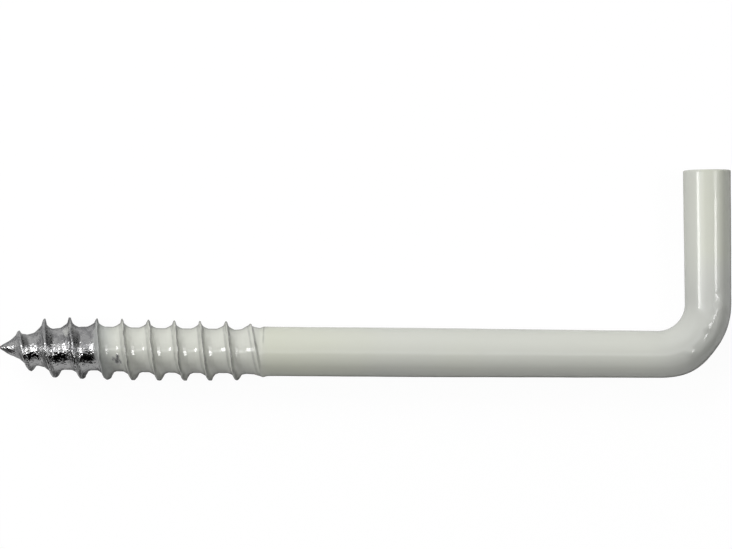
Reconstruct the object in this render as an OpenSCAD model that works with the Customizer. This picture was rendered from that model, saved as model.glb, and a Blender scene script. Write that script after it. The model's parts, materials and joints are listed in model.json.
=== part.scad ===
// Square-bend screw hook: one length of steel wire with a rolled wood-screw thread and an arm
// bent up square to the shank. It lies flat, with the thread's end at the origin, the shank
// along +X and the arm along +Y.

/* [Overall] */
// Length from the point to the outside of the bend
overall_length = 75; // [60:1:110]

/* [Wire] */
// Diameter of the shank behind the thread
shank_d = 5.05; // [4.8:0.05:5.6]
// Diameter of the wire in the bend and the arm
arm_d = 4.8; // [4.2:0.05:5.6]
// Length in front of the bend over which the shank narrows to the arm's diameter
taper_length = 25; // [5:1:30]

/* [Bend and arm] */
// Radius of the bend, to the middle of the wire
bend_radius = 5.15; // [3.5:0.05:8]
// Angle that the wire is bent through
bend_angle = 91; // [80:1:110]
// Straight length of the arm past the bend
arm_length = 13.65; // [8:0.05:40]
// Rounding of the edge at the arm's end
arm_edge_r = 0.3; // [0.1:0.05:1]
// How much the wire's radius draws in where it is bent
bend_draw = 0.01; // [0.01:0.005:0.1]

/* [Thread] */
// Length of the thread, from the point to the plain shank
thread_length = 27.1; // [20:0.1:32]
// Distance from one turn to the next
pitch = 2.65; // [2:0.05:3.5]
// Diameter over the crests behind the point
thread_d = 6.36; // [5.8:0.02:7]
// Diameter over the crests where the thread starts to run out
thread_back_d = 6.04; // [5.6:0.02:7]
// Diameter at the bottom of the thread
core_d = 4.57; // [4:0.01:4.7]
// Width of a crest
crest_w = 0.12; // [0.05:0.01:0.3]
// Width of the flank that faces the bend
rear_flank_w = 0.87; // [0.5:0.01:1]
// Width of the flank that faces the point
front_flank_w = 0.98; // [0.5:0.01:1]
// Length over which the thread runs out into the shank
run_out = 3.1; // [1:0.1:5]
// Depth of the step where the plain shank starts
shoulder = 0.06; // [0.03:0.01:0.1]

/* [Point] */
// Length over which the core comes down to the point
point_length = 7.6; // [5:0.1:12]
// Fullness of the point's curve, lower is blunter
point_power = 0.95; // [0.6:0.01:1]
// Distance from the point to the first crest on the arm's side
first_crest = 2.1; // [1:0.1:2.5]
// Length of the bare tip in front of the thread
bare_tip = 0.7; // [0.2:0.1:1.5]
// Length over which the thread rises behind the bare tip
run_in = 1.6; // [0.5:0.1:3]
// Diameter that the crests would have at the point if they ran on to it
crest_start_d = 1.7; // [1:0.1:3]
// Distance from the point at which the crests reach their full diameter
crest_full_at = 4.8; // [3:0.1:8]

/* [Hidden] */
$fn = 96;

coat_color = [0.90, 0.90, 0.86];
zinc_color = [0.66, 0.67, 0.68];

// The thread's body reaches this far into the shank, and the arm this far over the bend, so
// that each two join as one solid
thread_seat = 0.6;
arm_seat = 0.05;
point_x = -thread_length;
shank_length = overall_length - thread_length - bend_radius - arm_d / 2;
straight_length = shank_length - taper_length;

// The thread is a lattice of rows that climb one pitch in each turn. A turn holds one row for
// each entry of thread_profile: its place along the pitch from the crest's middle, and its
// share of the thread's height.
columns = 36;
rear_steps = [0, 0.28, 0.6, 1];
front_steps = [1, 0.62, 0.28, 0];
rear_curve = 2;
front_curve = 1.6;
thread_profile = concat(
    [for (t = rear_steps) [(crest_w / 2 + rear_flank_w * t) / pitch, pow(1 - t, rear_curve)]],
    [for (t = front_steps) [1 - (crest_w / 2 + front_flank_w * t) / pitch, pow(1 - t, front_curve)]]
);
rows_per_turn = len(thread_profile);
turns = ceil((thread_length + thread_seat - first_crest) / pitch) + 1;
first_row = -ceil(1 + first_crest / pitch) * rows_per_turn;
last_row = turns * rows_per_turn;

function clamp01(v) = max(0, min(1, v));
function mix(a, b, t) = a + (b - a) * t;
function smooth(t) = t * t * (3 - 2 * t);

// Share of the run-out that lies behind x: 0 on the full thread, 1 on the plain shank
function run_out_share(x) = clamp01((x + run_out) / run_out);

// The core with its point, before it runs out into the shank
function point_r(x) =
    let (t = clamp01((x - point_x) / point_length))
    core_d / 2 * pow(1 - pow(1 - t, 2), point_power);

function core_r(x) = mix(point_r(x), shank_d / 2 - shoulder, smooth(run_out_share(x)));

function crest_d(x) =
    let (
        full_length = thread_length - point_length - run_out,
        full_d = mix(thread_d, thread_back_d, clamp01((x - point_x - point_length) / full_length))
    )
    mix(crest_start_d, full_d, clamp01((x - point_x) / crest_full_at));

function thread_height(x) =
    let (rise = smooth(clamp01((x - point_x - bare_tip) / run_in)), fall = cos(90 * run_out_share(x)))
    max(0, crest_d(x) / 2 - point_r(x)) * rise * fall;

// Rows count on past a turn, so a row's number gives both its turn and its place in the profile
function row_turn(i) = floor(i / rows_per_turn);
function row_step(i) = thread_profile[i - row_turn(i) * rows_per_turn];
function lattice_x(i, j) = point_x + first_crest + pitch * (row_turn(i) + row_step(i)[0] + j / columns);

function lattice_point(i, j) =
    let (x = lattice_x(i, j), r = core_r(x) + thread_height(x) * row_step(i)[1], a = 360 * j / columns)
    [x, r * cos(a), r * sin(a)];

// Places in the list of points: the tip, the seat's ring, then the lattice
tip_index = 0;
function ring_index(j) = 1 + j % columns;
function lattice_index(i, j) = 1 + columns + (i - first_row) * columns + j;

// Rows that start in front of the tip or run on behind the seat gather there, and the last
// column is the first column one turn later
function corner(i, j) =
    lattice_x(i, j) <= point_x ? tip_index
    : lattice_x(i, j) >= thread_seat ? ring_index(j)
    : j == columns ? corner(i + rows_per_turn, 0)
    : lattice_index(i, j);

function differ(f) = f[0] != f[1] && f[1] != f[2] && f[2] != f[0];

module threaded_end() {
    seat_r = shank_d / 2 - shoulder;
    seat_ring = [
        for (j = [0:columns - 1]) let (a = 360 * j / columns) [thread_seat, seat_r * cos(a), seat_r * sin(a)]
    ];
    points = concat(
        [[point_x, 0, 0]],
        seat_ring,
        [for (i = [first_row:last_row], j = [0:columns - 1]) lattice_point(i, j)]
    );
    halves = [
        for (i = [first_row:last_row - 1], j = [0:columns - 1])
            for (f = [
                [corner(i, j), corner(i + 1, j), corner(i + 1, j + 1)],
                [corner(i, j), corner(i + 1, j + 1), corner(i, j + 1)]
            ]) if (differ(f)) f
    ];
    seat_face = [for (j = [columns - 1:-1:0]) ring_index(j)];
    color(zinc_color) polyhedron(points = points, faces = concat(halves, [seat_face]));
}

module shank() {
    color(coat_color) rotate([0, 90, 0]) {
        cylinder(h = straight_length, d = shank_d);
        translate([0, 0, straight_length])
            cylinder(h = taper_length, d1 = shank_d, d2 = arm_d);
    }
}

module bend() {
    color(coat_color) rotate([0, 0, -90])
        rotate_extrude(angle = bend_angle)
            translate([bend_radius, 0]) circle(r = arm_d / 2 - bend_draw);
}

// The arm lies along +X from its foot, and its far edge is rounded
module arm() {
    flat_r = arm_d / 2 - arm_edge_r;
    color(coat_color) rotate([0, 90, 0])
        rotate_extrude() {
            translate([0, -arm_seat]) square([arm_d / 2, arm_length - arm_edge_r + arm_seat]);
            square([flat_r, arm_length]);
            translate([flat_r, arm_length - arm_edge_r]) intersection() {
                circle(r = arm_edge_r);
                square(arm_edge_r);
            }
        }
}

module hook() {
    union() {
        threaded_end();
        shank();
        translate([shank_length, bend_radius, 0]) {
            bend();
            rotate([0, 0, bend_angle]) translate([0, -bend_radius, 0]) arm();
        }
    }
}

hook();
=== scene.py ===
import json
import math
import bpy
from mathutils import Matrix, Vector


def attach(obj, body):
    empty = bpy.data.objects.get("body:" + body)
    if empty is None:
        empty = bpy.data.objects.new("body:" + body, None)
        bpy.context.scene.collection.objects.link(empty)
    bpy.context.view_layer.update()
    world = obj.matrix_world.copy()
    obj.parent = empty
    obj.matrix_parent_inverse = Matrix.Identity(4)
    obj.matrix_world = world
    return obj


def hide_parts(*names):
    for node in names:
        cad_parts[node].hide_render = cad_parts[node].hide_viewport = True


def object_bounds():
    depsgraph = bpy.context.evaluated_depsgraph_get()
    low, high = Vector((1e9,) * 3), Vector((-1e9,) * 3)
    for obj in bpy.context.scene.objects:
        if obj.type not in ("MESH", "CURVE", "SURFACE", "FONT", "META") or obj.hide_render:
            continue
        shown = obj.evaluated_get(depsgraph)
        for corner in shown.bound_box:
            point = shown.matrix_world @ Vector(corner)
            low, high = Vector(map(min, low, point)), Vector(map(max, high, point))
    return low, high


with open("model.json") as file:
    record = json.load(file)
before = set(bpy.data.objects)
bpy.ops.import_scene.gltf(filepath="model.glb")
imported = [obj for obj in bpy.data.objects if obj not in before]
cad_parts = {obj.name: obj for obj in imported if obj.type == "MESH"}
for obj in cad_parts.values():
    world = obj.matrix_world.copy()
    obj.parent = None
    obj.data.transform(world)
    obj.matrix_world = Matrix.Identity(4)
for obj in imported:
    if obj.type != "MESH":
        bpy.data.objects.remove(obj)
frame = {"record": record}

mm = 0.001
cadLow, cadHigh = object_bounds()
arm = next(mount for mount in frame["record"]["mounts"] if mount["name"] == "arm")


class Signal:
    # one socket of a node tree, on which arithmetic adds Math nodes
    def __init__(self, builder, socket):
        self.builder = builder
        self.socket = socket

    def __add__(self, other):
        return self.builder.math("ADD", self, other)

    def __radd__(self, other):
        return self.builder.math("ADD", other, self)

    def __sub__(self, other):
        return self.builder.math("SUBTRACT", self, other)

    def __rsub__(self, other):
        return self.builder.math("SUBTRACT", other, self)

    def __mul__(self, other):
        return self.builder.math("MULTIPLY", self, other)

    def __rmul__(self, other):
        return self.builder.math("MULTIPLY", other, self)

    def __truediv__(self, other):
        return self.builder.math("DIVIDE", self, other)

    def __rtruediv__(self, other):
        return self.builder.math("DIVIDE", other, self)

    def __pow__(self, other):
        return self.builder.math("POWER", self, other)


class TreeBuilder:
    # adds nodes to a shader tree or a Geometry Nodes tree
    def __init__(self, tree):
        self.tree = tree

    def node(self, kind, settings=None, inputs=None, output=0):
        made = self.tree.nodes.new(kind)
        for name, value in (settings or {}).items():  # settings come before any socket
            setattr(made, name, value)
        for name, value in (inputs or {}).items():
            self.plug(made.inputs[name], value)
        return Signal(self, made.outputs[output])

    def plug(self, socket, value):
        if isinstance(value, Signal):
            self.tree.links.new(value.socket, socket)
        else:
            socket.default_value = value

    def math(self, operation, *values):
        return self.node("ShaderNodeMath", {"operation": operation}, dict(enumerate(values)))

    def least(self, a, b):
        return self.math("MINIMUM", a, b)

    def most(self, a, b):
        return self.math("MAXIMUM", a, b)

    def apart(self, a, b):  # how far two numbers lie from each other
        return self.math("ABSOLUTE", a - b)

    def share(self, value):  # held between 0 and 1
        return self.node("ShaderNodeClamp", {}, {"Value": value})

    def smooth(self, value):  # an eased step from 0 to 1
        t = self.share(value)
        return t * t * (3 - 2 * t)

    def within(self, value, stretch):  # 1 in a stretch and 0 outside it
        start, easeIn, end, easeOut = stretch
        inside = 1.0
        if start is not None:
            inside = self.smooth((value - start) / easeIn)
        if end is not None:
            inside = inside * (1 - self.smooth((value - end) / easeOut))
        return inside

    def blend(self, a, b, share):
        return a + (b - a) * share

    def sine(self, value):
        return self.math("SINE", value)

    def cosine(self, value):
        return self.math("COSINE", value)

    def vector(self, x, y, z):
        return self.node("ShaderNodeCombineXYZ", {}, {0: x, 1: y, 2: z})

    def split(self, vector):  # the three parts of a place in metres, in millimetres
        return [self.node("ShaderNodeSeparateXYZ", {}, {0: vector}, part) / mm for part in range(3)]

    def scaled(self, vector, factor):
        return self.node("ShaderNodeVectorMath", {"operation": "SCALE"}, {0: vector, "Scale": factor})

    def distance(self, a, b):
        return self.node("ShaderNodeVectorMath", {"operation": "DISTANCE"}, {0: a, 1: b}, 1)

    def inSpot(self, x, y, spot):  # from 1 in the middle of a round spot to 0 at its edge
        fromSpot = self.distance(self.vector(x, y, 0.0), (spot["x"], spot["y"], 0))
        return 1 - self.smooth(fromSpot / spot["reach"])

    def noise(self, vector, grain):
        scale, detail, roughness = grain
        inputs = {"Vector": vector, "Scale": scale, "Detail": detail, "Roughness": roughness}
        return self.node("ShaderNodeTexNoise", {}, inputs)

    def mixed(self, share, a, b):  # a mix of two colours
        return self.node("ShaderNodeMix", {"data_type": "RGBA"}, {0: share, 6: a, 7: b}, 2)

    def attribute(self, name):
        return self.node("ShaderNodeAttribute", {"attribute_name": name}, {}, "Fac")

    def ray(self, kind):
        return self.node("ShaderNodeLightPath", {}, {}, kind)

    def grid(self, rows, columns):
        return self.node("GeometryNodeMeshGrid", {}, {"Vertices X": rows, "Vertices Y": columns})

    def moved(self, shape, way, vector):  # to a Position or by an Offset
        return self.node("GeometryNodeSetPosition", {}, {"Geometry": shape, way: vector})

    def stored(self, shape, name, value):
        settings = {"data_type": "FLOAT", "domain": "POINT"}
        inputs = {"Geometry": shape, "Name": name, "Value": value}
        return self.node("GeometryNodeStoreNamedAttribute", settings, inputs)

    def end(self, kind, value):
        self.plug(self.tree.nodes.new(kind).inputs[0], value)


def emptyTree(owner):
    # clears the nodes of a material or of the world, to be built anew
    owner.use_nodes = True
    owner.node_tree.nodes.clear()
    return TreeBuilder(owner.node_tree)


# The hook: one length of wire, swept along its middle line, with the thread as a lattice of
# rows that climb one pitch in each turn. Sizes are in millimetres. Above is the arm's side of the
# shank and below the other side, and the front is towards the point and the rear towards the bend.
hook = {
    "tipX": cadLow.x / mm,
    "bendOuterX": cadHigh.x / mm,
    "shankRadius": 2.52,
    "bendStartRadius": 2.405,
    "armStartRadius": 2.36,
    "armEndRadius": 2.425,
    "taperLength": 25.0,
    "bendRadius": 5.15,
    "bendAngle": math.atan2(arm["axis"][1], arm["axis"][0]),
    "bendSwell": 0.2,
    "bendSwellAt": 0.3,
    "bendSwellWidth": 0.3,
    "armLength": 13.63,
    "armEdge": 0.14,
    "armEndInset": 0.06,
    "pitch": 2.65,
    "firstCrest": 2.1,
    "crestRadius": 3.155,
    "crestBackRadius": 3.02,
    "crestTaperStart": 11.0,
    "crestTaperEnd": 24.1,
    "crestAtPoint": 0.85,
    "crestPointSlope": 0.48,
    "crestAtShank": 2.66,
    "crestShankSlope": 0.13,
    "coreRadius": 2.27,
    "crestHalf": 0.02,
    "crestHalfBelow": 0.05,
    "crestPointHalf": 0.09,
    "beadHalf": 0.04,
    "beadHalfBelow": 0.06,
    "beadFall": 0.2,
    "beadFallBelow": 0.3,
    "beadShare": 0.34,
    "rearFlank": 0.87,
    "frontFlank": 0.98,
    "rearCurve": 1.7,
    "frontCurve": 1.5,
    "frontCurveBelow": 1.3,
    "frontCurveDrop": 0.25,
    "rearFacetEnd": 0.835,
    "rearFacetSlope": 0.36,
    "frontFacetEnd": 0.895,
    "frontFacetSlope": 0.435,
    "facetHeight": 0.5,
    "crestLean": 0.06,
    "crestWander": 0.36,
    # painted shade beside the crests
    "shadeRear": 0.55,
    "shadeRearEnd": 0.08,
    "shadeRearFade": 0.17,
    "shadeFront": 0.28,
    "shadeFrontAt": 0.36,
    "shadeFrontHalf": 0.05,
    "shadeFrontFade": 0.12,
    "runOut": 3.1,
    "neck": 0.09,
    "neckAt": -2.6,
    "neckReach": 1.4,
    "earlyEnd": 0.13,
    "earlyPoint": 0.12,
    "lowDrop": 0.09,
    "highDrop": 0.13,
    "shoulder": 0.13,
    "lipAt": 0.16,
    "lipWidth": 0.45,
    # a painted shadow along the lip
    "lipShade": 0.4,
    "lipShadeHalf": 0.02,
    "lipShadeFade": 0.09,
    "threadReach": 1.3,
    "pointLength": 7.6,
    "pointPower": 0.95,
    "bareTip": 0.7,
    "runIn": 1.6,
    "bow": 0.185,
    "coreSag": 0.15,
    "bareLength": 10.15,
    "bareSkew": 0.6,
    "bareRagged": 1.0,
    "coatEdge": 0.8,
    "coatFull": 2.6,
    "coatThickness": 0.03,
    "lump": 0.026,
    "dent": 0.05,
    "wave": 0.035,
    "waveLevel": 0.7,
    "bendLump": 0.06,
    "bendLumpLevel": 0.6,
    "patchX": -14.55,
    "patchY": -0.85,
    "patchZ": 2.06,
    "patchRadius": 0.33,
    "patchFade": 0.25,
    "patchRagged": 1.2,
    "patchShare": 0.75,
    "residueX": -19.75,
    "residueY": 2.3,
    "residueZ": 1.8,
    "residueRadius": 0.3,
    "residueFade": 0.4,
    "residueRagged": 2.5,
    "residueMottle": 1.2,
    "residueLow": 0.1,
}
grids = {
    "columns": 96,
    "rowsPerTurn": 52,
    "turnsBefore": 2,
    "turnsAfter": 12,
    "pathRows": 300,
    "edgeRows": 6,
    "joinWithin": 0.0003,
}

# The grain of each noise, in the shape and in the finish: its scale, detail and roughness
grains = {
    "ragged": (700.0, 3.0, 0.6),
    "mottle": (3000.0, 1.0, 0.5),
    "lump": (1100.0, 1.0, 0.5),
    "dent": (1700.0, 2.0, 0.5),
    "wave": (330.0, 1.0, 0.5),
    "bendLump": (1400.0, 1.0, 0.5),
    "crestWander": (800.0, 2.0, 0.6),
    "tint": (160.0, 2.0, 0.5),
    "mottledShade": (1500.0, 2.0, 0.6),
    "dull": (1300.0, 3.0, 0.6),
    "pits": (3600.0, 2.0, 0.55),
}

# Where each local feature lies. It eases in from the first place over the second length,
# and out from the third place over the fourth.
stretches = {
    # along the shank, from the tip
    "wideCrests": (None, None, 6, 3.5),
    "steepFronts": (None, None, 4.8, 1.5),
    "lowBelow": (None, None, 6, 3),
    "lowAbove": (None, None, 5, 1.5),
    "bow": (None, None, 6, 13),
    "coreSag": (2, 1.5, 6, 4),
    "crestLean": (6, 6, 24.1, 3),
    "crestWander": (3.1, 3, 25.1, 2),
    "earlyPoint": (2.5, 2.5, 6.5, 2),
    "earlyAbove": (23.6, 2, 26.4, 0.6),
    "earlyBelow": (18.1, 3, 22.8, 1.2),
    "paintedShadeLines": (None, None, 26.5, 0.6),
    "darkFronts": (None, None, 6, 3),
    "threadedEnd": (None, None, 27.6, 1.5),
    # across a groove, from the crest in front of it or behind it
    "onRear": (0.08, 0.12, 0.65, 0.3),
    "onFront": (0.12, 0.15, 0.5, 0.3),
    "offCore": (2.5, 0.4, None, None),  # from the axis
    # towards the arm's side or away from it, as a share of the radius
    "lipShadeUp": (0.25, 0.3, None, None),
    "rearUp": (0, 0.2, 0.65, 0.3),
    "frontDown": (0.15, 0.25, 0.8, 0.2),
    # the bend, along the shank and along the arm
    "bendX": (44.2, 1.2, None, None),
    "bendY": (None, None, 5.5, 2),
    "skewedY": (None, None, -2, 2.5),  # away from the arm
}

# small beads in the coat, on the side that faces up
beads = [
    {"x": 46.03, "y": 6.55, "reach": 0.42, "rise": 0.03},
    {"x": 46.6, "y": 5.3, "reach": 1.2, "rise": 0.05},
    {"x": 45.6, "y": 3.7, "reach": 0.5, "rise": 0.04},
    {"x": 45.1, "y": 2.97, "reach": 0.9, "rise": 0.085},
    {"x": 43.5, "y": 0.2, "reach": 0.6, "rise": 0.075},
    {"x": 45.85, "y": 16.4, "reach": 0.35, "rise": 0.02},
]


def threadPlace(b, size, row, column):
    # where a point of the thread's lattice lies: along the shank, around it and across its groove
    turn = b.math("FLOOR", row / grids["rowsPerTurn"])
    phase = row / grids["rowsPerTurn"] - turn
    climb = turn + phase + column / grids["columns"] - grids["turnsBefore"]
    x = size["tipX"] + size["firstCrest"] + size["pitch"] * climb
    x = b.most(size["tipX"], b.least(size["threadReach"], x))
    angle = column / grids["columns"] * math.tau
    up = b.cosine(angle)
    return {
        "x": x,
        "along": x - size["tipX"],
        "angle": angle,
        "up": up,
        "below": 0.5 - 0.5 * up,
        "fromRear": phase * size["pitch"],
        "fromFront": (1 - phase) * size["pitch"],
    }


def crestSection(b, size, at):
    # the section of a crest, from 1 on its line to 0 in the groove, and the flats beside the groove
    wider = size["crestPointHalf"] * b.within(at["along"], stretches["wideCrests"]) * (1 - at["below"])
    crestHalf = b.blend(size["crestHalf"], size["crestHalfBelow"], at["below"]) + wider
    rear = 1 - b.share((at["fromRear"] - crestHalf) / size["rearFlank"])
    front = 1 - b.share((at["fromFront"] - crestHalf) / size["frontFlank"])
    frontCurve = b.blend(size["frontCurve"], size["frontCurveBelow"], at["below"])
    frontCurve = frontCurve - size["frontCurveDrop"] * b.within(at["along"], stretches["steepFronts"])
    flare = b.most(rear ** size["rearCurve"], front ** frontCurve)
    beadHalf = b.blend(size["beadHalf"], size["beadHalfBelow"], at["below"]) + wider
    beadFall = b.blend(size["beadFall"], size["beadFallBelow"], at["below"])
    bead = 1 - b.smooth((b.least(at["fromRear"], at["fromFront"]) - beadHalf) / beadFall)
    rearFacet = (crestHalf + size["rearFacetEnd"] - at["fromRear"]) * size["rearFacetSlope"]
    frontFacet = (crestHalf + size["frontFacetEnd"] - at["fromFront"]) * size["frontFacetSlope"]
    return b.blend(flare, bead, size["beadShare"]), b.most(rearFacet, frontFacet)


def coreRadius(b, size, at):
    # the core comes down to the tip, and behind its neck it runs out into the shank with a lip
    pointShare = 1 - b.share(at["along"] / size["pointLength"])
    core = size["coreRadius"] * (1 - pointShare * pointShare) ** size["pointPower"]
    core = core - size["neck"] * (1 - b.smooth(b.apart(at["x"], size["neckAt"]) / size["neckReach"]))
    beforeLip = 1 - b.smooth((at["x"] - size["lipAt"]) / size["lipWidth"] + 1)
    shank = size["shankRadius"] - size["shoulder"] * beforeLip
    return b.blend(core, shank, b.smooth((at["x"] + size["runOut"]) / size["runOut"]))


def crestRadius(b, size, at):
    # the crests rise behind the tip, taper towards the shank and run out into it
    tapered = (at["along"] - size["crestTaperStart"]) / (size["crestTaperEnd"] - size["crestTaperStart"])
    crest = b.blend(size["crestRadius"], size["crestBackRadius"], b.share(tapered))
    crest = b.least(crest, size["crestAtPoint"] + size["crestPointSlope"] * at["along"])
    crest = b.least(crest, size["crestAtShank"] - size["crestShankSlope"] * at["x"])
    crest = crest - size["lowDrop"] * at["below"] * b.within(at["along"], stretches["lowBelow"])
    return crest - size["highDrop"] * (1 - at["below"]) * b.within(at["along"], stretches["lowAbove"])


def paintedShadeLines(b, size, at):
    # painted shade: dark lines beside each crest, and a painted shadow along the lip in front of the
    # plain shank
    besideRear = 1 - b.smooth((at["fromRear"] - size["shadeRearEnd"]) / size["shadeRearFade"])
    fromLine = b.apart(at["fromFront"], size["shadeFrontAt"])
    besideFront = 1 - b.smooth((fromLine - size["shadeFrontHalf"]) / size["shadeFrontFade"])
    paintedShade = besideRear * size["shadeRear"] + besideFront * size["shadeFront"]
    paintedShade = paintedShade * b.within(at["along"], stretches["paintedShadeLines"])
    fromLip = b.apart(at["x"], size["lipAt"])
    onLip = 1 - b.smooth((fromLip - size["lipShadeHalf"]) / size["lipShadeFade"])
    return paintedShade + onLip * b.within(at["up"], stretches["lipShadeUp"]) * size["lipShade"]


def paintedFlankShade(b, at):
    # painted shade on the bare plate, standing in for dark reflections: behind the crests above, and in
    # front of the first ones below
    down = at["up"] * -1
    rears = b.within(at["fromRear"], stretches["onRear"]) * b.within(at["up"], stretches["rearUp"])
    fronts = b.within(at["fromFront"], stretches["onFront"]) * b.within(down, stretches["frontDown"])
    return b.most(rears, fronts * b.within(at["along"], stretches["darkFronts"]))


def threadedEnd(b, size, row, column):
    # the core and its crests, bowed towards the arm's side in front
    rows = (grids["turnsBefore"] + grids["turnsAfter"]) * grids["rowsPerTurn"] + 1
    at = threadPlace(b, size, row, column)
    ridge, facet = crestSection(b, size, at)
    core = coreRadius(b, size, at)
    height = b.most(crestRadius(b, size, at) - core, 0.0)
    height = height * b.smooth((at["along"] - size["bareTip"]) / size["runIn"])
    height = height * (1 - b.smooth(at["x"] / size["threadReach"]))
    radius = core + b.most(height * ridge, facet * b.share(height / size["facetHeight"]))

    # the crests lie a little further forward near both ends
    earlyAbove = b.within(at["along"], stretches["earlyAbove"])
    earlyBelow = b.within(at["along"], stretches["earlyBelow"])
    x = at["x"] - size["earlyEnd"] * b.blend(earlyAbove, earlyBelow, at["below"])
    x = x - size["earlyPoint"] * at["below"] * b.within(at["along"], stretches["earlyPoint"])
    along = x - size["tipX"]
    bow = size["bow"] * b.within(along, stretches["bow"])
    sag = size["coreSag"] * b.within(along, stretches["coreSag"]) * (1 - ridge) * (1 - at["below"])
    lean = size["crestLean"] * at["up"] * b.within(along, stretches["crestLean"])
    place = b.vector(x + lean, radius * at["up"] + bow - sag, radius * b.sine(at["angle"]))
    shape = b.moved(b.grid(rows, grids["columns"] + 1), "Position", b.scaled(place, mm))
    shape = b.stored(shape, "paintedShade", paintedShadeLines(b, size, at))
    return b.stored(shape, "flank", paintedFlankShade(b, at))


def plainWire(b, size, row, column):
    # shank, bend and arm, closed by the arm's rounded end
    pathRows, edgeRows = grids["pathRows"], grids["edgeRows"]
    shankLength = size["bendOuterX"] - size["armStartRadius"] - size["bendRadius"]
    arcLength = size["bendRadius"] * size["bendAngle"]
    wireLength = shankLength + arcLength + size["armLength"] - size["armEdge"]
    s = size["threadReach"] + b.least(row / pathRows, 1.0) * (wireLength - size["threadReach"])
    edgeRow = b.most(row - pathRows, 0.0)
    edgeAngle = b.least(edgeRow / edgeRows, 1.0) * (math.pi / 2)
    beyond = b.most(edgeRow - edgeRows, 0.0)
    # the end is closed by a ring a little inside its edge, and then by one point
    closing = 1 - b.least(beyond, 1.0) * size["armEndInset"]
    closing = closing - b.most(beyond - 1, 0.0) * (1 - size["armEndInset"])
    turned = b.share((s - shankLength) / arcLength) * size["bendAngle"]
    alongArm = b.most(s - shankLength - arcLength, 0.0)
    forward = alongArm + size["armEdge"] * b.sine(edgeAngle)
    centreX = b.least(s, shankLength) + size["bendRadius"] * b.sine(turned) + forward * b.cosine(turned)
    centreY = size["bendRadius"] * (1 - b.cosine(turned)) + forward * b.sine(turned)

    tapered = b.share((s - shankLength + size["taperLength"]) / size["taperLength"])
    wire = b.blend(size["shankRadius"], size["bendStartRadius"], tapered)
    wire = b.blend(wire, size["armStartRadius"], b.smooth((s - shankLength) / arcLength))
    wire = b.blend(wire, size["armEndRadius"], b.share(alongArm / size["armLength"]))
    radius = (wire - size["armEdge"] * (1 - b.cosine(edgeAngle))) * closing
    angle = column / grids["columns"] * math.tau
    fromSwell = b.apart(turned / size["bendAngle"], size["bendSwellAt"]) / size["bendSwellWidth"]
    swell = (1 - b.smooth(fromSwell)) * size["bendSwell"] * b.most(b.cosine(angle) * -1, 0.0)
    inPlane = b.cosine(angle) * (radius + swell)
    place = b.vector(centreX - inPlane * b.sine(turned), centreY + inPlane * b.cosine(turned),
                     radius * b.sine(angle))
    grid = b.grid(pathRows + edgeRows + 3, grids["columns"] + 1)
    return b.moved(grid, "Position", b.scaled(place, mm))


def fromPlace(b, size, name, position):
    # how far a point lies from a named place
    place = b.vector(size[name + "X"], size[name + "Y"], size[name + "Z"])
    return b.distance(position, b.scaled(place, mm)) / mm


def coatShares(b, size, position):
    # where the white coat lies, with a ragged edge, and where it is thick enough for its full colour
    x, y = b.split(position)[:2]
    ragged = b.noise(position, grains["ragged"]) - 0.5
    mottle = b.noise(position, grains["mottle"])
    speckle = ragged + mottle - 0.5
    skew = b.within(y, stretches["skewedY"]) * size["bareSkew"]
    pastEdge = x - (size["tipX"] + size["bareLength"] + skew + ragged * size["bareRagged"])
    coat = b.smooth(pastEdge / size["coatEdge"] + 0.5)
    full = b.smooth(pastEdge / size["coatFull"])
    fromPatch = fromPlace(b, size, "patch", position) + speckle * size["patchRagged"]
    bare = 1 - b.smooth((fromPatch - size["patchRadius"]) / size["patchFade"])
    fromResidue = fromPlace(b, size, "residue", position) + speckle * size["residueRagged"]
    left = 1 - b.smooth((fromResidue - size["residueRadius"]) / size["residueFade"])
    residue = left * (mottle * size["residueMottle"] - size["residueLow"])
    return b.most(coat * (1 - bare * size["patchShare"]), residue), b.most(full, left)


def coatSwell(b, size, position, coat):
    # how far the surface stands out: the coat's step and lumps, dents in the plate, waves and beads
    x, y, z = b.split(position)
    onThread = b.within(x - size["tipX"], stretches["threadedEnd"])
    inBend = b.within(x, stretches["bendX"]) * b.within(y, stretches["bendY"])
    lumps = (b.noise(position, grains["lump"]) - 0.5) * size["lump"] * coat * onThread
    dents = (b.noise(position, grains["dent"]) - 0.5) * size["dent"] * (1 - coat)
    waves = (b.noise(position, grains["wave"]) - size["waveLevel"]) * size["wave"] * (1 - onThread)
    drops = (b.noise(position, grains["bendLump"]) - size["bendLumpLevel"]) * size["bendLump"] * inBend
    for bead in beads:
        drops = drops + b.inSpot(x, y, bead) * b.share(z) * bead["rise"]
    return (coat - 1) * size["coatThickness"] + lumps + dents + waves + drops


def crestWander(b, size, position):
    # the rolled crests don't run quite true
    x, y, z = b.split(position)
    fromAxis = b.distance(b.vector(0.0, y, z), (0, 0, 0))
    wander = (b.noise(position, grains["crestWander"]) - 0.5) * size["crestWander"]
    wander = wander * b.within(fromAxis, stretches["offCore"])
    return wander * b.within(x - size["tipX"], stretches["crestWander"])


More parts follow.
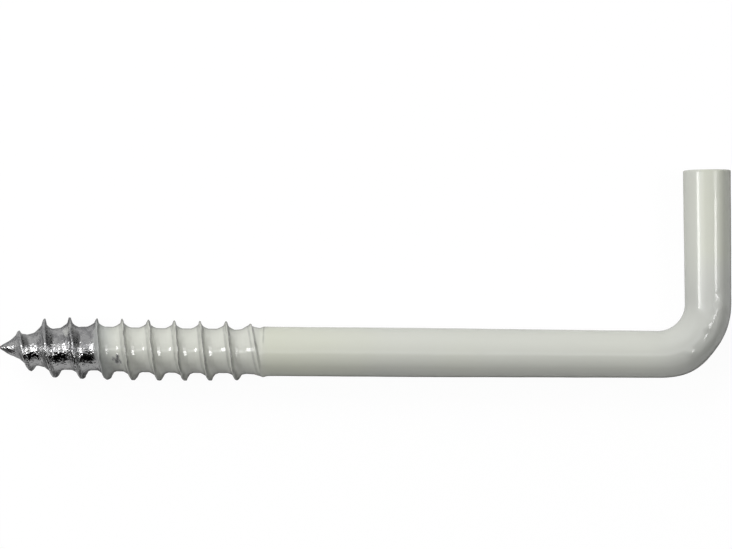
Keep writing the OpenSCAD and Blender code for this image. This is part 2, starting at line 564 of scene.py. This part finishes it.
def hookTree(material):
    tree = bpy.data.node_groups.new("hookShape", "GeometryNodeTree")
    b = TreeBuilder(tree)
    for name in hook:
        tree.interface.new_socket(name=name, in_out="INPUT", socket_type="NodeSocketFloat")
    tree.interface.new_socket(name="shape", in_out="OUTPUT", socket_type="NodeSocketGeometry")
    entry = tree.nodes.new("NodeGroupInput")
    size = {name: Signal(b, entry.outputs[name]) for name in hook}
    index = b.node("GeometryNodeInputIndex")
    row = b.math("FLOOR", (index + 0.5) / (grids["columns"] + 1))
    column = index - row * (grids["columns"] + 1)

    joined = tree.nodes.new("GeometryNodeJoinGeometry")
    for part in (threadedEnd(b, size, row, column), plainWire(b, size, row, column)):
        tree.links.new(part.socket, joined.inputs[0])
    shape = Signal(b, joined.outputs[0])
    joining = {"Geometry": shape, "Distance": grids["joinWithin"] * mm}
    shape = b.node("GeometryNodeMergeByDistance", {}, joining)
    shape = b.node("GeometryNodeFlipFaces", {}, {0: shape})

    position = b.node("GeometryNodeInputPosition")
    coat, full = coatShares(b, size, position)
    shape = b.stored(shape, "coat", coat)
    shape = b.stored(shape, "full", full)
    swell = coatSwell(b, size, position, coat)
    shape = b.moved(shape, "Offset", b.scaled(b.node("GeometryNodeInputNormal"), swell * mm))
    shape = b.moved(shape, "Offset", b.vector(crestWander(b, size, position) * mm, 0.0, 0.0))
    shape = b.node("GeometryNodeSetShadeSmooth", {}, {"Geometry": shape})
    shape = b.node("GeometryNodeRealizeInstances", {}, {0: shape})
    shape = b.node("GeometryNodeSetMaterial", {}, {"Geometry": shape, "Material": material})
    b.end("NodeGroupOutput", shape)
    return tree


def plainMesh(name, tree, values):
    # runs a Geometry Nodes tree once and keeps what it makes as a plain mesh
    carrier = bpy.data.objects.new(name + "Carrier", bpy.data.meshes.new(name + "Carrier"))
    bpy.context.scene.collection.objects.link(carrier)
    modifier = carrier.modifiers.new("shape", "NODES")
    modifier.node_group = tree
    for item in tree.interface.items_tree:
        if item.in_out == "INPUT" and item.name in values:
            modifier[item.identifier] = values[item.name]
    evaluated = carrier.evaluated_get(bpy.context.evaluated_depsgraph_get())
    made = bpy.data.meshes.new_from_object(evaluated)
    bpy.data.objects.remove(carrier)
    made.name = name
    piece = bpy.data.objects.new(name, made)
    bpy.context.scene.collection.objects.link(piece)
    return piece


# The finish: a glossy white coat over bare zinc plate
finish = {
    "coatColour": (0.665, 0.675, 0.615, 1),
    "warmColour": (0.67, 0.685, 0.585, 1),
    "coolColour": (0.665, 0.677, 0.62, 1),
    "bentColour": (0.6, 0.61, 0.572, 1),
    # painted shade in a band along the outside of the bend
    "shadeBandColour": (0.45, 0.46, 0.43, 1),
    "shadeBandShare": 0.55,
    "shadeBandRimFade": 0.6,
    "shadeBandArmFade": 0.5,
    "warmArm": 0.7,
    "edgeColour": (0.5, 0.52, 0.5, 1),
    # painted shade beside the crests and along the lip, mottled, and on the lower side near the point
    "shadeColour": (0.1, 0.1, 0.1, 1),
    "shadeBelow": 0.2,
    "shadeLow": 0.2,
    "shadeMottle": 1.6,
    "zincColour": (0.73, 0.73, 0.73, 1),
    "dullColour": (0.47, 0.47, 0.48, 1),
    "dullContrast": 5.0,
    "dullLevel": 0.35,
    # the plate is duller along the painted shade beside the crests
    "dullInShade": 0.9,
    "dullBelow": 0.3,
    "dullAbove": 0.3,
    # painted shade on the plate's flanks; its colour is also the painted shade at the tip
    "flankColour": (0.17, 0.17, 0.17, 1),
    "flankShare": 0.8,
    "flankMottle": 2.0,
    # painted shade at the tip, in a groove and along a crease
    "tipShade": 0.8,
    "tipShadeLevel": 0.4,
    "tipShadeMottle": 3.0,
    "creaseAt": 1.35,
    "creaseSlope": 1.6,
    "creaseHalf": 0.17,
    "shankRoughness": 0.12,
    "threadRoughness": 0.06,
    "threadGloss": 0.6,
    "rubbedRoughness": 0.24,
    "spotRoughness": 0.5,
    "zincRoughness": 0.1,
    "dullRoughness": 0.3,
    "bumpDepth": 0.09,
}

# Where each tone lies, in millimetres, in the same form as the stretches of the shape
tones = {
    "shankX": (-1, 2, None, None),
    "warmShankX": (None, None, 2, 12),
    "warmArmX": (43.9, 0.8, None, None),
    "warmArmY": (7, 4, None, None),
    "bendX": (38, 6, None, None),
    "bendY": (None, None, 6, 5),
    # where the band of painted shade lies
    "shadeBandX": (42.8, 1.6, None, None),
    "shadeBandY": (4, 2, None, None),
    "shadeBandOut": (0.85, 0.5, None, None),  # outside the wire's middle line
    "shadeBandRim": (1.5, 0.7, None, None),
    # where painted shade darkens the lower side near the point
    "shadePointX": (None, None, -16, 6),
    "shadePointY": (None, None, -1.4, 2),
    "dullX": (-23, 4, None, None),
    "dullY": (-0.5, 0.5, None, None),
    # where the painted shade at the tip lies
    "tipShadeAlong": (None, None, 0.4, 1.2),  # from the tip
    "grooveAlong": (None, None, 1.6, 0.4),
    "grooveY": (-0.4, 0.125, 0.0375, 0.125),
    "creaseY": (-0.4, 0.125, 0.3, 0.125),
    "tipShadeZ": (0, 0.25, None, None),
    "rubbedX": (45.1, 0.3, None, None),
    "rubbedY": (16.6, 0.5, None, None),
}

# places in the bend where the coat is less glossy
dullSpots = [
    {"x": 46.2, "y": 5.15, "reach": 0.95},
    {"x": 45.66, "y": 3.62, "reach": 0.18},
]


def shankColour(b, x, y, tint):
    # the coat yellows towards both ends and is darker in the bend, and a band of painted shade runs
    # along the bend's outside
    warm = b.within(y, tones["warmArmY"]) * b.within(x, tones["warmArmX"]) * finish["warmArm"]
    warm = b.share(b.most(warm, b.within(x, tones["warmShankX"])) + tint)
    shank = b.mixed(warm, finish["coolColour"], finish["warmColour"])
    bent = b.within(x, tones["bendX"]) * b.within(y, tones["bendY"])
    shank = b.mixed(bent, shank, finish["bentColour"])
    bendMiddleX = hook["bendOuterX"] - hook["armStartRadius"] - hook["bendRadius"]
    outwardX = b.most(x - bendMiddleX, 0.0)
    outwardY = b.most(hook["bendRadius"] - y, 0.0)
    outward = (outwardX * outwardX + outwardY * outwardY) ** 0.5 - hook["bendRadius"]
    # painted shade along the outside of the bend
    shadeBand = b.within(outward, tones["shadeBandOut"]) * b.within(x, tones["shadeBandX"])
    shadeBand = shadeBand * (1 - finish["shadeBandRimFade"] * b.within(outward, tones["shadeBandRim"]))
    shadeBand = shadeBand * (1 - finish["shadeBandArmFade"] * b.within(y, tones["shadeBandY"]))
    return b.mixed(shadeBand * finish["shadeBandShare"], shank, finish["shadeBandColour"])


def coatRoughness(b, x, y, onShank):
    # glossier on the thread, rubbed by the arm's end, and duller in a few spots
    rough = b.blend(finish["threadRoughness"], finish["shankRoughness"], onShank)
    rubbed = b.within(y, tones["rubbedY"]) * b.within(x, tones["rubbedX"])
    rough = b.blend(rough, finish["rubbedRoughness"], rubbed)
    for spot in dullSpots:
        rough = b.blend(rough, finish["spotRoughness"], b.inSpot(x, y, spot))
    return rough


def tipShadeShare(b, x, y, z, tint):
    # painted shade on the tip, and in a groove and a crease that run out from it
    fromTip = x - hook["tipX"]
    tipDark = b.share(finish["tipShadeLevel"] + tint * finish["tipShadeMottle"])
    tipDark = tipDark * b.within(fromTip, tones["tipShadeAlong"])
    groove = b.within(y, tones["grooveY"]) * b.within(fromTip, tones["grooveAlong"])
    fromCrease = b.apart(fromTip + y * finish["creaseSlope"], finish["creaseAt"])
    crease = (1 - b.smooth(fromCrease / finish["creaseHalf"])) * b.within(y, tones["creaseY"])
    tipDark = b.most(tipDark, b.most(groove, crease) * b.within(z, tones["tipShadeZ"]))
    return b.share(tipDark) * finish["tipShade"]


def zincLook(b, position, paintedShade, tint):
    # the colour and the roughness of the plate, which has dull patches, and painted shade on its flanks
    # and at the tip
    x, y, z = b.split(position)
    patches = (b.noise(position, grains["dull"]) - 0.5) * finish["dullContrast"] + finish["dullLevel"]
    dull = b.most(b.smooth(patches), paintedShade * finish["dullInShade"])
    upper = b.within(y, tones["dullY"])
    dull = dull * b.blend(finish["dullBelow"], 1, upper)
    dull = b.share(dull + b.within(x, tones["dullX"]) * upper * finish["dullAbove"])
    zinc = b.mixed(dull, finish["zincColour"], finish["dullColour"])
    # painted shade on the flanks, mottled
    flank = b.share(b.attribute("flank") * (1 + tint * finish["flankMottle"])) * finish["flankShare"]
    zinc = b.mixed(flank, zinc, finish["flankColour"])
    zinc = b.mixed(tipShadeShare(b, x, y, z, tint), zinc, finish["flankColour"])
    return zinc, b.blend(finish["zincRoughness"], finish["dullRoughness"], dull)


def coatLook(b, position, paintedShade, tint, full, onShank):
    # the colour and the roughness of the coat, which is greyer at its edge and carries painted shade
    # beside the crests and along the lip
    x, y = b.split(position)[:2]
    white = b.mixed(onShank, finish["coatColour"], shankColour(b, x, y, tint))
    white = b.mixed(full, finish["edgeColour"], white)
    mottledShade = b.share(paintedShade * (finish["shadeLow"] + b.noise(position, grains["mottledShade"]) * finish["shadeMottle"]))
    return b.mixed(mottledShade, white, finish["shadeColour"]), coatRoughness(b, x, y, onShank)


def hookFinish():
    material = bpy.data.materials.new("coatedZinc")
    b = emptyTree(material)
    position = b.node("ShaderNodeTexCoord", {}, {}, "Object")
    x, y = b.split(position)[:2]
    coat = b.attribute("coat")
    full = b.attribute("full")
    onShank = b.within(x, tones["shankX"])
    tint = b.noise(position, grains["tint"]) - 0.5
    # painted shade: dark lines beside the crests and along the lip, and the lower side near the point
    shadePoint = b.within(y, tones["shadePointY"]) * b.within(x, tones["shadePointX"]) * finish["shadeBelow"]
    paintedShade = b.most(b.attribute("paintedShade"), shadePoint)
    white, whiteRoughness = coatLook(b, position, paintedShade, tint, full, onShank)
    zinc, zincRoughness = zincLook(b, position, paintedShade, tint)
    pits = b.noise(position, grains["pits"]) * (1 - coat)
    bump = {"Strength": 1.0, "Distance": finish["bumpDepth"] * mm, "Height": pits}
    shader = b.node("ShaderNodeBsdfPrincipled", {}, {
        "Base Color": b.mixed(coat, zinc, white),
        "Roughness": b.blend(zincRoughness, whiteRoughness, coat),
        "Metallic": 1 - coat,
        "Normal": b.node("ShaderNodeBump", {}, bump),
        "Coat Weight": (1 - onShank) * coat * full * finish["threadGloss"],
    })
    b.end("ShaderNodeOutputMaterial", shader)
    return material


def makeHook():
    piece = plainMesh("screwHook", hookTree(hookFinish()), hook)
    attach(piece, "root")
    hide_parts("hook")
    print("hook:", len(piece.data.polygons), "faces")


# The studio, in metres
studio = {
    "floorSize": 6.0,
    "floorColour": (0.5, 0.5, 0.5),
    "floorWhite": 1.08,
    "floorSeenWhite": 0.88,
    "mirroredLift": 0.5,
    "contactShade": 1.3,
    "threadShade": 0.7,
    "worldMirror": 0.45,
    "worldFill": 0.1,
    "lampDistance": 0.6,
    "flagDistance": 0.5,
}

# Where the floor is darker in reflections, in millimetres: outside the bend and beside the thread
floorShades = {
    "contact": (0, 1, 4, 3),
    "besideThread": (2.8, 0.6, 3.8, 1.7),
    "threadX": (None, None, -2, 4),
}


def squareCorners(width, length):
    square = ((-1, -1), (1, -1), (1, 1), (-1, 1))
    return [Vector((x * width / 2, y * length / 2, 0)) for x, y in square]


def stagePiece(name, corners, shader):
    # one flat face with its own shader, which isn't part of the object
    face = bpy.data.meshes.new(name)
    face.from_pydata(corners, [], [(0, 1, 2, 3)])
    piece = bpy.data.objects.new(name, face)
    bpy.context.scene.collection.objects.link(piece)
    material = bpy.data.materials.new(name)
    b = emptyTree(material)
    b.end("ShaderNodeOutputMaterial", shader(b))
    face.materials.append(material)


def floorShader(b):
    # white to the camera with a faint shadow, and darker beside the hook in reflections
    share = b.most(b.ray("Is Camera Ray"), b.ray("Is Transmission Ray")) * studio["floorSeenWhite"]
    x, y = b.split(b.node("ShaderNodeTexCoord", {}, {}, "Object"))[:2]
    outside = b.most(x - arm["pos_m"][0] / mm, y * -1)
    near = b.within(outside, floorShades["contact"])
    besideThread = b.within(b.apart(y, 0.0), floorShades["besideThread"])
    onThread = b.within(x, floorShades["threadX"])
    shade = studio["mirroredLift"] - near * studio["contactShade"]
    shade = b.blend(shade, besideThread * studio["threadShade"] * -1, onThread)
    colour = b.scaled(studio["floorColour"], shade * b.ray("Is Glossy Ray") + 1)
    plain = b.node("ShaderNodeBsdfDiffuse", {}, {"Color": colour})
    glow = b.node("ShaderNodeEmission", {}, {"Color": (1, 1, 1, 1), "Strength": studio["floorWhite"]})
    return b.node("ShaderNodeMixShader", {}, {0: share, 1: plain, 2: glow})


def makeFloor():
    corners = squareCorners(studio["floorSize"], studio["floorSize"])
    below = Vector((0, 0, cadLow.z))
    stagePiece("floor", [corner + below for corner in corners], floorShader)
    print("floor: made")


# The studio's panels face the object. Each spans from one tilt to another, in degrees from
# straight up: towards +X with tiltX, and towards +Y with tiltY.
middle = Vector(((cadLow.x + cadHigh.x) / 2, (cadLow.y + cadHigh.y) / 2, 0))


def panelPlace(span, distance):
    turnX, turnY = [math.radians(sum(span[key]) / 2) for key in ("tiltX", "tiltY")]
    halfX, halfY = [math.radians(span[key][1] - span[key][0]) / 2 for key in ("tiltX", "tiltY")]
    width = 2 * distance * math.tan(halfX) * math.cos(turnY)
    length = 2 * distance * math.tan(halfY)
    turn = Matrix.Rotation(turnX, 4, "Y") @ Matrix.Rotation(-turnY, 4, "X")
    return Matrix.Translation(middle) @ turn @ Matrix.Translation((0, 0, distance)), width, length


# Flags are dark panels that only reflections see
flags = {
    "flagNear": {"tiltX": (-62, 60), "tiltY": (-83, -8)},
    "flagRight": {"tiltX": (56, 94), "tiltY": (-40, 60)},
    "flagLeft": {"tiltX": (-86, -62), "tiltY": (-50, -6)},
}


def flagShader(b):
    # black in reflections, and not there to any other ray
    clear = b.node("ShaderNodeBsdfTransparent")
    black = b.node("ShaderNodeEmission", {}, {"Strength": 0.0})
    return b.node("ShaderNodeMixShader", {}, {0: b.ray("Is Glossy Ray"), 1: clear, 2: black})


def makeFlag(name, span):
    place, width, length = panelPlace(span, studio["flagDistance"])
    stagePiece(name, [place @ corner for corner in squareCorners(width, length)], flagShader)


# A soft lamp isn't seen in reflections, and a mirrored one is seen only there
lamps = {
    "leftStrip": {"tiltX": (-57, -45), "tiltY": (-6, 6), "radiance": 10.0},
    "leftGlowNear": {"tiltX": (-45, -35), "tiltY": (-6, 6), "radiance": 3.9},
    "leftGlowFar": {"tiltX": (-35, -20), "tiltY": (-6, 6), "radiance": 2.6},
    "leftEdge": {"tiltX": (-75, -57), "tiltY": (-6, 6), "radiance": 0.5},
    "overheadBar": {"tiltX": (-20, 31), "tiltY": (-6, 6), "radiance": 1.0},
    "rightStrip": {"tiltX": (30, 41), "tiltY": (-6, 6), "radiance": 8.6},
    "rightStripLow": {"tiltX": (31, 40), "tiltY": (-16, -8), "radiance": 8.6, "mirrored": True},
    "rightEdge": {"tiltX": (40, 55), "tiltY": (-6, 6), "radiance": 1.2},
    "rightUpper": {"tiltX": (20, 42), "tiltY": (6, 24), "radiance": 2.2},
    "keyLeft": {"tiltX": (-45, -15), "tiltY": (24, 50), "radiance": 7.5, "soft": True},
    "backLeft": {"tiltX": (-75, -15), "tiltY": (50, 80), "radiance": 1.9, "soft": True},
    "backMiddle": {"tiltX": (-15, 15), "tiltY": (50, 80), "radiance": 0.6, "soft": True},
}


def makeLamp(name, span):
    place, width, length = panelPlace(span, studio["lampDistance"])
    data = bpy.data.lights.new(name, "AREA")
    data.shape = "RECTANGLE"
    data.size = width
    data.size_y = length
    data.energy = span["radiance"] * math.pi * width * length
    lamp = bpy.data.objects.new(name, data)
    bpy.context.scene.collection.objects.link(lamp)
    lamp.matrix_world = place
    lamp.visible_glossy = not span.get("soft", False)
    lamp.visible_diffuse = not span.get("mirrored", False)


def makeWorld():
    world = bpy.data.worlds.new("studioWorld")
    bpy.context.scene.world = world
    b = emptyTree(world)
    strength = b.most(b.ray("Is Camera Ray"), b.ray("Is Transmission Ray"))
    strength = b.most(strength, b.ray("Is Glossy Ray") * studio["worldMirror"])
    strength = b.most(strength, studio["worldFill"])
    light = b.node("ShaderNodeBackground", {}, {"Color": (1, 1, 1, 1), "Strength": strength})
    b.end("ShaderNodeOutputWorld", light)


# The camera looks straight down on the hook, rolled a little. Its place is in millimetres, its
# roll in degrees and its clipping distances in metres.
camera = {
    "lens": 110.6,
    "sensor": 36.0,
    "right": 10.588,
    "up": 7.85,
    "height": 230.0,
    "roll": 0.447,
    "clipStart": 0.01,
    "clipEnd": 20.0,
}


def makeCamera():
    data = bpy.data.cameras.new("camera")
    data.sensor_width = camera["sensor"]
    data.lens = camera["lens"]
    data.clip_start = camera["clipStart"]
    data.clip_end = camera["clipEnd"]
    eye = bpy.data.objects.new("camera", data)
    bpy.context.scene.collection.objects.link(eye)
    turn = Matrix.Rotation(math.radians(camera["roll"]), 4, "Z")
    eye.location = turn @ Vector((camera["right"], camera["up"], camera["height"])) * mm
    eye.rotation_euler = (0, 0, math.radians(camera["roll"]))
    bpy.context.scene.camera = eye
    print("camera: made")


makeHook()
makeFloor()
for name, span in flags.items():
    makeFlag(name, span)
print("flags:", len(flags))
makeWorld()
for name, span in lamps.items():
    makeLamp(name, span)
print("lamps:", len(lamps))
makeCamera()
bpy.context.scene.view_settings.view_transform = "Standard"

bpy.context.view_layer.update()
